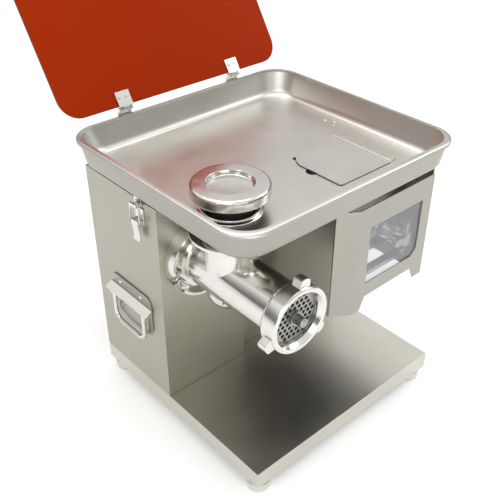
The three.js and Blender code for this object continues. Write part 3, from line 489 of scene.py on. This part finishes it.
def plate(name, width, depth, stations, radius=0, segments=16):
    """A rectangle, with round corners if it has a radius, carried up through its stations."""
    bpy.ops.object.select_all(action="DESELECT")
    bpy.ops.mesh.primitive_plane_add(size=1, location=(0, 0, stations[0][2]))
    obj = bpy.context.object
    obj.scale = (width, depth, 1)
    settle(obj, name)
    bpy.ops.object.mode_set(mode="EDIT")
    bpy.ops.mesh.select_mode(type="VERT")
    bpy.ops.mesh.select_all(action="SELECT")
    if radius:
        bpy.ops.mesh.bevel(affect="VERTICES", offset_type="ABSOLUTE", offset=radius, segments=segments)
        bpy.ops.mesh.select_all(action="SELECT")
    raise_face(stations)
    close_shell()
    return obj


def turned(name, profile, centre, along="Z", sides=72, bored=False):
    """A round piece from (radius, height) corners. A bored one ends where it starts and is open inside."""
    bpy.ops.object.select_all(action="DESELECT")
    radius, height = profile[0]
    bpy.ops.mesh.primitive_circle_add(
        vertices=sides, radius=radius, fill_type="NGON", location=(0, 0, height))
    obj = settle(bpy.context.object, name)
    bpy.ops.object.mode_set(mode="EDIT")
    bpy.ops.mesh.select_all(action="SELECT")
    raise_face([(r, r, h) for r, h in profile])
    if bored:
        pick_faces(obj, lambda middle: middle.xy.length < WELD)
        bpy.ops.mesh.delete(type="FACE")
    close_shell()
    obj.rotation_euler = {"Z": (0, 0, 0), "Y": (-QUARTER, 0, 0)}[along]
    obj.location = centre
    return settle(obj, name)


def arc(radius_at, height_at, radius, start, end, steps):
    """Profile corners on a rounding, angles in degrees from outwards to upwards."""
    angles = [math.radians(start + (end - start) * i / steps) for i in range(steps + 1)]
    return [(radius_at + radius * math.cos(a), height_at + radius * math.sin(a)) for a in angles]


def merge_flat(obj, weld=WELD):
    """Welds a mesh's corners and joins the faces that lie in one plane."""
    only(obj)
    bpy.ops.object.mode_set(mode="EDIT")
    bpy.ops.mesh.select_all(action="SELECT")
    bpy.ops.mesh.remove_doubles(threshold=weld)
    bpy.ops.mesh.dissolve_limited(angle_limit=math.radians(1))
    bpy.ops.object.mode_set(mode="OBJECT")
    return obj


def refined(node, width, segments=2, angle=32):
    """A copy of a plain part with its triangles merged into faces and its edges rounded."""
    piece = bpy.data.objects.new(f"{node}_skin", frame["nodes"][node].data.copy())
    bpy.context.scene.collection.objects.link(piece)
    return soften(merge_flat(piece, 0.01 * MM), width, segments, angle)


def dress(piece, node, material, stands_for=True):
    """Gives a piece its material and its body, and hides the part that it stands for."""
    piece.data.materials.clear()
    piece.data.materials.append(material)
    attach(piece, BODY_OF[node])
    if stands_for:
        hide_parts(node)
    return piece


def at(x, y, z):
    """A place in the machine's own millimetres."""
    return BASE_ORIGIN + Vector((x, y, z)) * MM


def scaled(profile):
    """A profile's millimetres in metres."""
    return [(radius * MM, height * MM) for radius, height in profile]


def paint(piece, material, test):
    """Gives the faces that pass the test a second material."""
    piece.data.materials.append(material)
    for face in piece.data.polygons:
        face.material_index = int(test(face))


# ---------------------------------------------------------------- tray, lid and hinges
def make_tray(steel, shaded_outside):
    """One pressed sheet with round corners, a rolled rim, three holes and some shallow dimples."""
    width, depth, front, corner = 438, 401, -186, 41.4
    floor, rim_middle = TRAY_UNDER + 2, 434
    walls = [(22, TRAY_UNDER), (15, 394.5), (11, 396.4), (8.6, 401), (4.4, 428), (0, 432)]
    outer_turns, inner_turns = (0, 0.4, 0.8, 1.2, 1.57), (1.4, 1.0, 0.5, 0)
    rim = [(4.5 - 4.5 * math.cos(t), rim_middle + 0.5 + 3.5 * math.sin(t)) for t in outer_turns]
    rim += [(9 - 2.6 * math.cos(t), rim_middle + 4 * math.sin(t)) for t in inner_turns]
    inside = [(13.4, 412), (14.6, 407), (16.2, 402.6), (18.6, 399), (22, 396.7), (26, floor)]
    stations = [
        ((width - 2 * inset) * MM, (depth - 2 * inset) * MM, (height - TRAY_UNDER) * MM)
        for inset, height in walls + rim + inside
    ]
    tray = plate("tray_pan", stations[0][0], stations[0][1], stations, corner * MM)
    tray.location = at(0, front + depth / 2, TRAY_UNDER)
    settle(tray, "tray_pan")
    under, over = TRAY_UNDER - 4, floor + 6
    cut(
        tray,
        turned("chute_hole", scaled([(36.8, under), (36.8, over)]), at(HEAD_X, THROAT_Y, 0), sides=96),
        block("inlet_hole", at(35, -111, under), at(131, -11, over)),
        turned("thumb_hole", scaled([(10, under), (10, over)]), at(29, -61, 0), sides=48),
    )
    row, row_y = (-158, -109, -58, -7, 44, 93, 143), 185
    dimples = [(x, row_y, 3.2) for x in row] + [(175, 52, 2.6), (181, 36, 2.6), (172, 30, 2.2)]
    for x, y, radius in dimples:
        bowl = scaled([(0.2, -0.8), (radius * 0.6, -0.6), (radius, 0), (radius, 1)])
        cut(tray, turned("dimple", bowl, at(x, y, floor), sides=20))
    dress(soften(tray, 0, angle=30), "tray", steel)
    middle, top = at(0, 15, 0), at(0, 0, rim_middle).z

    def is_outside(face):
        outward = face.normal.xy.dot(face.center.xy - middle.xy) > 0
        return outward and face.center.z < top and abs(face.normal.z) < 0.7

    # Painted shade: the outer walls take the darker cabinet steel, though the tray is one sheet.
    paint(tray, shaded_outside, is_outside)


def make_lid(sheet, edge):
    """A flat sheet with round corners, open and leaning back from its hinges. Its sawn edge is darker."""
    thick, below = 4 * MM, 1.5 * MM
    width, height, corner, middle = 430 * MM, 395 * MM, 34 * MM, 201.5 * MM
    lid = plate("lid_sheet", width, height, [(1, 1, 0), (1, 1, thick)], corner)
    lid.rotation_euler = (QUARTER - LID_LEAN, 0, 0)
    back = Vector((0, math.cos(LID_LEAN), -math.sin(LID_LEAN)))
    along = Vector((0, math.sin(LID_LEAN), math.cos(LID_LEAN)))
    lid.location = at(0, HINGE_Y, HINGE_UP) - back * below + along * middle
    soften(settle(lid, "lid_sheet"), 0.7 * MM)
    dress(lid, "lid", sheet)
    paint(lid, edge, lambda face: abs(face.normal.dot(back)) < 0.5)


def make_hinges(polished):
    for number in (1, 2):
        make_plain([f"hinge_leaf_{number}", f"hinge_base_{number}"], 0.4, polished)


# ---------------------------------------------------------------- pusher and chute
def make_pusher(polished, shade_black):
    """A polished cap with a sunk middle on a plunger in dark rubber, which is painted shade under the cap.
    """
    cap_under = 420.5
    skin = [(0.3, 325), (26, 325), (31.5, 330), (31.5, cap_under), (53.5, cap_under)]
    skin += arc(53, 422.5, 2.4, -90, 0, 4)
    skin += arc(51, 433, 4.5, 0, 90, 6)
    skin += [(34, 437.5), (33, 436.8), (32.6, 435.5), (31.5, 431.2), (30, 430.5), (0.3, 430.5)]
    pusher = turned("pusher_skin", scaled(skin), at(HEAD_X, THROAT_Y, 0), sides=96)
    dress(soften(pusher, 0, angle=28), "pusher", polished)
    underside = at(0, 0, cap_under + 0.1).z
    # Painted shade: the plunger and the cap's underside take the dark rubber, for the shaded gap under the
    # cap.
    paint(pusher, shade_black, lambda face: face.center.z < underside)


def make_chute(polished):
    """A tube with a lip that is rolled out over the tray's hole."""
    bore, outer, foot = 34, 36.5, 359
    wall = [(bore, foot), (outer, foot), (outer, 396.3), (46, 396.3), (45.4, 397.4)]
    wall += [(43, 398.4), (42, 399.4)]
    wall += arc(40.6, 400.6, 1.4, 0, 90, 4)
    wall += [(39.4, 402), (37.5, 401.6), (35.4, 399.6), (34.2, 397), (bore, 394), (bore, foot)]
    chute = turned("feed_chute_skin", scaled(wall), at(HEAD_X, THROAT_Y, 0), sides=96, bored=True)
    dress(soften(chute, 0, angle=40), "feed_chute", polished)


# ---------------------------------------------------------------- grinding head
def make_head(polished):
    """A cast barrel and its belled neck, both bored, with two slotted ears for the swing bolts."""
    mouth = 363 - HEAD_UP
    neck = [(0.5, -42), (22, -42), (28, -40.6), (33, -36.5), (36.6, -30), (38, -22)]
    neck += bell(38, 21, mouth - 24, 20) + [(59, mouth - 0.6), (58.4, mouth)]
    throat = [(0.5, 0), (32.5, 0)] + bell(32.5, 22.5, mouth - 22, 20) + [(56.4, mouth + 1)]
    barrel = [(45, -190.6), (45, -174), (40, -168), (40, -14.3), (38, -4.3), (46, -4.3), (46, 3.7)]
    bore = [(41.3, -192), (41.3, -176), (34, -176), (34, 5)]
    axis, stand = at(HEAD_X, 0, HEAD_UP), at(HEAD_X, THROAT_Y, HEAD_UP)
    head = turned("grinder_head_skin", scaled(barrel), axis, "Y", 96)
    fuse(head, turned("neck", scaled(neck), stand, sides=96))
    for side in (1, -1):
        ear = block("ear", -EAR, EAR)
        slot = block("slot", -EAR_SLOT, EAR_SLOT)
        fuse(head, lean_out(ear, side, EAR_REACH))
        cut(head, lean_out(slot, side, SLOT_REACH))
    cut(head, turned("throat", scaled(throat), stand, sides=96))
    cut(head, turned("bore", scaled(bore), axis, "Y", 96))
    dress(soften(head, 0.9 * MM, angle=40), "grinder_head", polished)


def lean_out(tool, side, reach):
    """Moves a block from the middle to its place on the flange, right (1) or left (-1), and tilts it."""
    tool.rotation_euler = (0, -EAR_TILT, 0)
    across, up = side * reach * math.cos(EAR_TILT), side * reach * math.sin(EAR_TILT)
    tool.location = at(HEAD_X + across, EAR_Y, HEAD_UP + up)
    return settle(tool, tool.name)


def make_ring(polished):
    """The ring nut: a short sleeve with an inner lip in front and three lugs to turn it by."""
    wall = [(45.3, -175), (47.8, -175), (49.8, -178), (50.8, -180), (50.8, -200), (50.2, -201.8)]
    wall += [(48.8, -203), (43.6, -203), (42.6, -202.4), (39.2, -196.4), (38.5, -195.3)]
    wall += [(38.5, -190.6), (45.3, -190.6), (45.3, -175)]
    ring = turned("ring_nut_skin", scaled(wall), at(HEAD_X, 0, HEAD_UP), "Y", 96, bored=True)
    lug_length, lug_back = 15, -184
    lug_width = [(10.5, 47), (8, 60), (5, 62.4), (0, 62.8)]
    stations = [(half, 1, radius * MM) for half, radius in lug_width]
    for angle in (80, 200, 320):
        lug = plate("lug", 2 * lug_width[0][0] * MM, lug_length * MM, stations)
        lug.rotation_euler = (0, QUARTER - math.radians(angle), 0)
        lug.location = at(HEAD_X, lug_back - lug_length / 2, HEAD_UP)
        fuse(ring, merge_flat(settle(lug, "lug")))
    dress(soften(ring, 0.8 * MM, angle=40), "ring_nut", polished)


def make_hole_plate(machined):
    """A thick disc with a raised boss, drilled with holes in staggered rows."""
    disc = [(11, -195), (11, -190.3), (41, -190.3), (41, -181.3)]
    centre_hole, hole, pitch = 7.7, 2.9, 8.4
    inner, outer = 13, 36
    front, back = -199, -170
    plate_skin = turned("hole_plate_skin", scaled(disc), at(HEAD_X, 0, HEAD_UP), "Y", 96)
    shaft = scaled([(centre_hole, front), (centre_hole, back)])
    drills = [turned("drill", shaft, at(HEAD_X, 0, HEAD_UP), "Y", 48)]
    bit = scaled([(hole, front), (hole, back)])
    for row in range(-4, 5):
        for step in range(-4, 5):
            x = pitch * (step + (0.5 if row % 2 else 0))
            z = pitch * math.sqrt(0.75) * row
            if inner < math.hypot(x, z) < outer:
                drills.append(turned("drill", bit, at(HEAD_X + x, 0, HEAD_UP + z), "Y", 24))
    cut(plate_skin, gather(*drills))
    dress(soften(plate_skin, 0.25 * MM, 2, 50), "hole_plate", machined)


def make_auger(machined):
    """The feed screw, with its plain front pin cut off and a turned one with a rounded end put in."""
    body = refined("auger", 0)
    old_pin = block("old_pin", at(HEAD_X - 15, -215, HEAD_UP - 16), at(HEAD_X + 15, -190, HEAD_UP + 16))
    cut(body, old_pin)
    pin = [(0.3, -210), (4.6, -210), (6.4, -209.2), (7.2, -207.4), (7.2, -188)]
    tip = turned("auger_pin", scaled(pin), at(HEAD_X, 0, HEAD_UP), "Y", 48)
    dress(soften(tip, 0, angle=50), "auger", machined, stands_for=False)
    dress(body, "auger", machined)


def make_collar(polished):
    make_plain(["outlet_collar"], 0.6, polished)
    for number in (1, 2):
        make_plain([f"swing_bolt_{number}", f"wing_nut_{number}"], 0.35, polished)


# ---------------------------------------------------------------- handles and feet
def make_handles(polished, brushed):
    """Satin plates with bright screws and a bright folded strip, and a bail that hangs from each."""
    plate_face = 202.35 * MM
    for number in (1, 2):
        node = f"handle_plate_{number}"
        handle = dress(refined(node, 0.5 * MM), node, brushed)
        paint(handle, polished, lambda face: abs(face.center.x) > plate_face)
        make_grip(f"handle_grip_{number}", polished)


def make_grip(node, polished):
    """A round bar bent to a D. Its circle is carried along each straight and round each corner."""
    low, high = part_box(node)
    middle = (low + high) / 2
    bar = 3.5 * MM
    side, top, drop = middle.x, high.z - bar, low.z + bar
    half, corner, stub, tight = 40 * MM, 17 * MM, 6 * MM, 4.5 * MM
    bpy.ops.object.select_all(action="DESELECT")
    start = (side, middle.y - half - stub, top)
    bpy.ops.mesh.primitive_circle_add(
        vertices=20, radius=bar, fill_type="NGON", location=start, rotation=(QUARTER, 0, 0))
    grip = settle(bpy.context.object, f"{node}_skin")
    bpy.ops.object.mode_set(mode="EDIT")
    bpy.ops.mesh.select_all(action="SELECT")

    def run(y, z):
        bpy.ops.mesh.extrude_region_move(TRANSFORM_OT_translate={"value": (0, y, z)})

    def bend(y, z, angle):
        bpy.ops.mesh.spin(steps=10, angle=math.radians(angle), center=(side, y, z), axis=(1, 0, 0))

    run(stub - tight, 0)
    bend(middle.y - half - tight, top - tight, 90)
    run(0, -(top - tight - drop - corner))
    bend(middle.y - half + corner, drop + corner, -90)
    run(2 * (half - corner), 0)
    bend(middle.y + half - corner, drop + corner, -90)
    run(0, top - tight - drop - corner)
    bend(middle.y + half + tight, top - tight, 90)
    run(stub - tight, 0)
    close_shell()
    dress(soften(grip, 0, angle=40), node, polished)


def make_feet(polished, rubber):
    """Steel cups with a rubber sole let into the bottom."""
    cup = [(0.5, 2.2), (16.6, 2.2), (16.8, 0.7), (17.6, 0.5), (18.6, 1.6), (19, 3)]
    cup += [(19, 13.4), (18.4, 14.6), (15.4, 15.6), (15, 16.4), (15, 19.7)]
    sole = [(0.5, 0), (15.2, 0), (16.2, 0.8), (16.2, 2.1)]
    for number in (1, 2, 3, 4):
        node = f"foot_{number}"
        low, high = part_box(node)
        centre = Vector(((low.x + high.x) / 2, (low.y + high.y) / 2, 0))
        top = turned(f"{node}_cup", scaled(cup), centre, sides=64)
        dress(soften(top, 0, angle=35), node, polished)
        bottom = turned(f"{node}_sole", scaled(sole), centre, sides=64)
        dress(soften(bottom, 0, angle=35), node, rubber, stands_for=False)


# ---------------------------------------------------------------- the whole machine
def make_plain(nodes, width, material):
    """Parts whose shape is right already: only their edges, width millimetres, and their finish are new."""
    for node in nodes:
        dress(refined(node, width * MM), node, material)


def build():
    # Painted light and shade: one satin steel in four tones, lighter on the tops that face the light (tray,
    # base, top plate), darker on the upright sides and darkest on the slicer cabinet.
    upright = brushed_steel("brushed_upright_painted_shade", (5, 5, 620), (0.42, 0.41, 0.365), 0.36)
    flat = brushed_steel("brushed_flat_painted_light", (5, 620, 620), (0.64, 0.63, 0.605), 0.36)
    shaded_cabinet = brushed_steel("brushed_cabinet_painted_shade", (5, 5, 620), (0.38, 0.37, 0.34), 0.36)
    base = brushed_steel("brushed_base_painted_light", (5, 620, 620), (0.64, 0.625, 0.58), 0.33)
    polished = polished_steel()
    machined = machined_steel()
    cast = painted_casting()
    rubber = black_rubber()
    make_tray(flat, shaded_cabinet)
    make_lid(orange_sheet(), sheet_edge())
    make_hinges(polished)
    make_pusher(polished, rubber)
    make_chute(polished)
    make_head(polished)
    make_ring(polished)
    make_hole_plate(machined)
    make_auger(machined)
    make_collar(polished)
    make_handles(polished, upright)
    make_plain(["body_shell", "back_cover"], 0.9, upright)
    make_plain(["base_plate"], 0.98, base)
    make_plain(["slicer_box", "slicer_door"], 0.7, shaded_cabinet)
    make_feet(polished, rubber)
    make_plain(["top_plate", "feed_throat", "inlet_flap", "flap_strip"], 0.3, flat)
    make_plain(["bearing_plate", "star_knob", "switch_plate"], 0.6, polished)
    for part in ("plate", "lever", "loop", "catch"):
        make_plain([f"latch_{part}_1", f"latch_{part}_2"], 0.3, polished)
    make_plain(["blade_shaft_1", "blade_shaft_2", "knife", "output_shaft", "motor_shaft"], 0.2, machined)
    make_plain(["drive_gear", "gearbox_housing", "motor_pulley", "motor_body", "slicer_pulley"], 0.4, cast)
    make_plain(["drive_belt", "cable_gland"], 0.5, rubber)
    make_plain(["door_window"], 0.3, clear_sheet())
    make_plain(["start_button"], 0.5, moulded_plastic("green_button", (0.02, 0.30, 0.06)))
    make_plain(["stop_button"], 0.5, moulded_plastic("red_button", (0.45, 0.015, 0.01)))


aim_camera()
light_studio()
lay_floor()
build()
